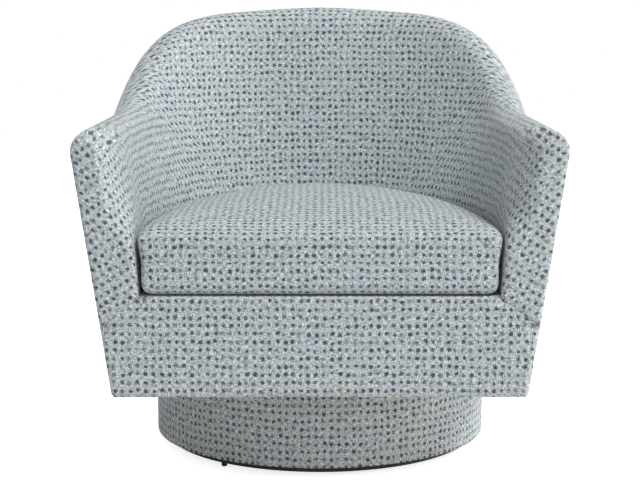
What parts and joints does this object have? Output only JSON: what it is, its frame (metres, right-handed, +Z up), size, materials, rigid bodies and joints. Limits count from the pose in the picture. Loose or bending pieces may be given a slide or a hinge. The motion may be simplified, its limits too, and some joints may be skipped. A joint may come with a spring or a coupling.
{
  "type": "swivel rocker chair",
  "caption": "Upholstered barrel-back armchair with a loose box seat cushion, on a round drum base that swivels on a ball race and rocks on a sprung shaft.",
  "frame": {"origin": "on the floor, on the vertical axis the chair swivels about", "axes": "+Z up, front of the chair towards -Y, +X to the right seen from the front"},
  "size_m": [0.794, 0.816, 0.8],
  "materials": {
    "upholstery_fabric": "matte",
    "black_plastic": "satin",
    "plywood": "satin",
    "hardwood": "satin",
    "fibreboard": "matte",
    "zinc_steel": "satin",
    "black_steel": "satin",
    "spring_steel": "satin",
    "ball_steel": "polished",
    "nylon": "satin",
    "bumper_rubber": "matte",
    "foam": "matte",
    "padding_felt": "matte",
    "deck_cloth": "matte"
  },
  "bodies": {
    "base": {"glides": "black_plastic", "toe_ring": "black_plastic", "floor_board": "plywood", "drum_posts": "hardwood", "drum_hoop": "plywood", "drum_deck": "plywood", "drum_cover": "upholstery_fabric", "swivel_lower_plate": "black_steel", "deck_bolts": "zinc_steel", "tee_nuts": "zinc_steel", "kingpin": "zinc_steel", "bearing_balls": "ball_steel", "ball_cage": "nylon"},
    "turntable": {"swivel_upper_plate": "black_steel", "rocker_cradle": "black_steel", "cradle_bolts": "zinc_steel", "cradle_nuts": "zinc_steel", "rocker_shaft": "zinc_steel", "shaft_clips": "spring_steel", "lower_spring_cups": "black_plastic", "rocker_springs": "spring_steel", "stop_bumpers": "bumper_rubber"},
    "seat": {"rocker_bracket": "black_steel", "shaft_bushes": "nylon", "upper_spring_cups": "black_plastic", "bracket_bolts": "zinc_steel", "bracket_nuts": "zinc_steel", "lower_rim_rail": "plywood", "seat_board": "plywood", "front_posts": "hardwood", "frame_ribs": "hardwood", "top_rail": "plywood", "shell_panel": "fibreboard", "outside_pad": "padding_felt", "outside_cover": "upholstery_fabric", "barrel_foam": "foam", "inside_cover": "upholstery_fabric", "arm_front_pads": "padding_felt", "front_rail_cover": "upholstery_fabric", "front_rail_foam": "foam", "front_rail": "hardwood", "side_rails": "hardwood", "back_rail": "hardwood", "corner_blocks": "hardwood", "sinuous_springs": "spring_steel", "spring_clips": "zinc_steel", "deck_pad": "padding_felt", "deck_cover": "deck_cloth"},
    "cushion": {"cushion_cover": "upholstery_fabric", "cushion_zip": "black_plastic", "cushion_foam": "foam"}
  },
  "joints": [
    {"name": "swivel", "type": "hinge", "parent": "base", "child": "turntable", "pos_m": [0, 0, 0.1535], "axis": [0, 0, 1], "continuous": true},
    {"name": "rock", "type": "hinge", "parent": "turntable", "child": "seat", "pos_m": [0, 0, 0.192], "axis": [1, 0, 0], "range_deg": [-12, 8], "stiffness_Nm_per_rad": 1200, "deforming": ["rocker_springs"]},
    {"name": "cushion_lift", "type": "slide", "parent": "seat", "child": "cushion", "axis": [0, 0, 1], "range_m": [0, 0.3]}
  ]
}
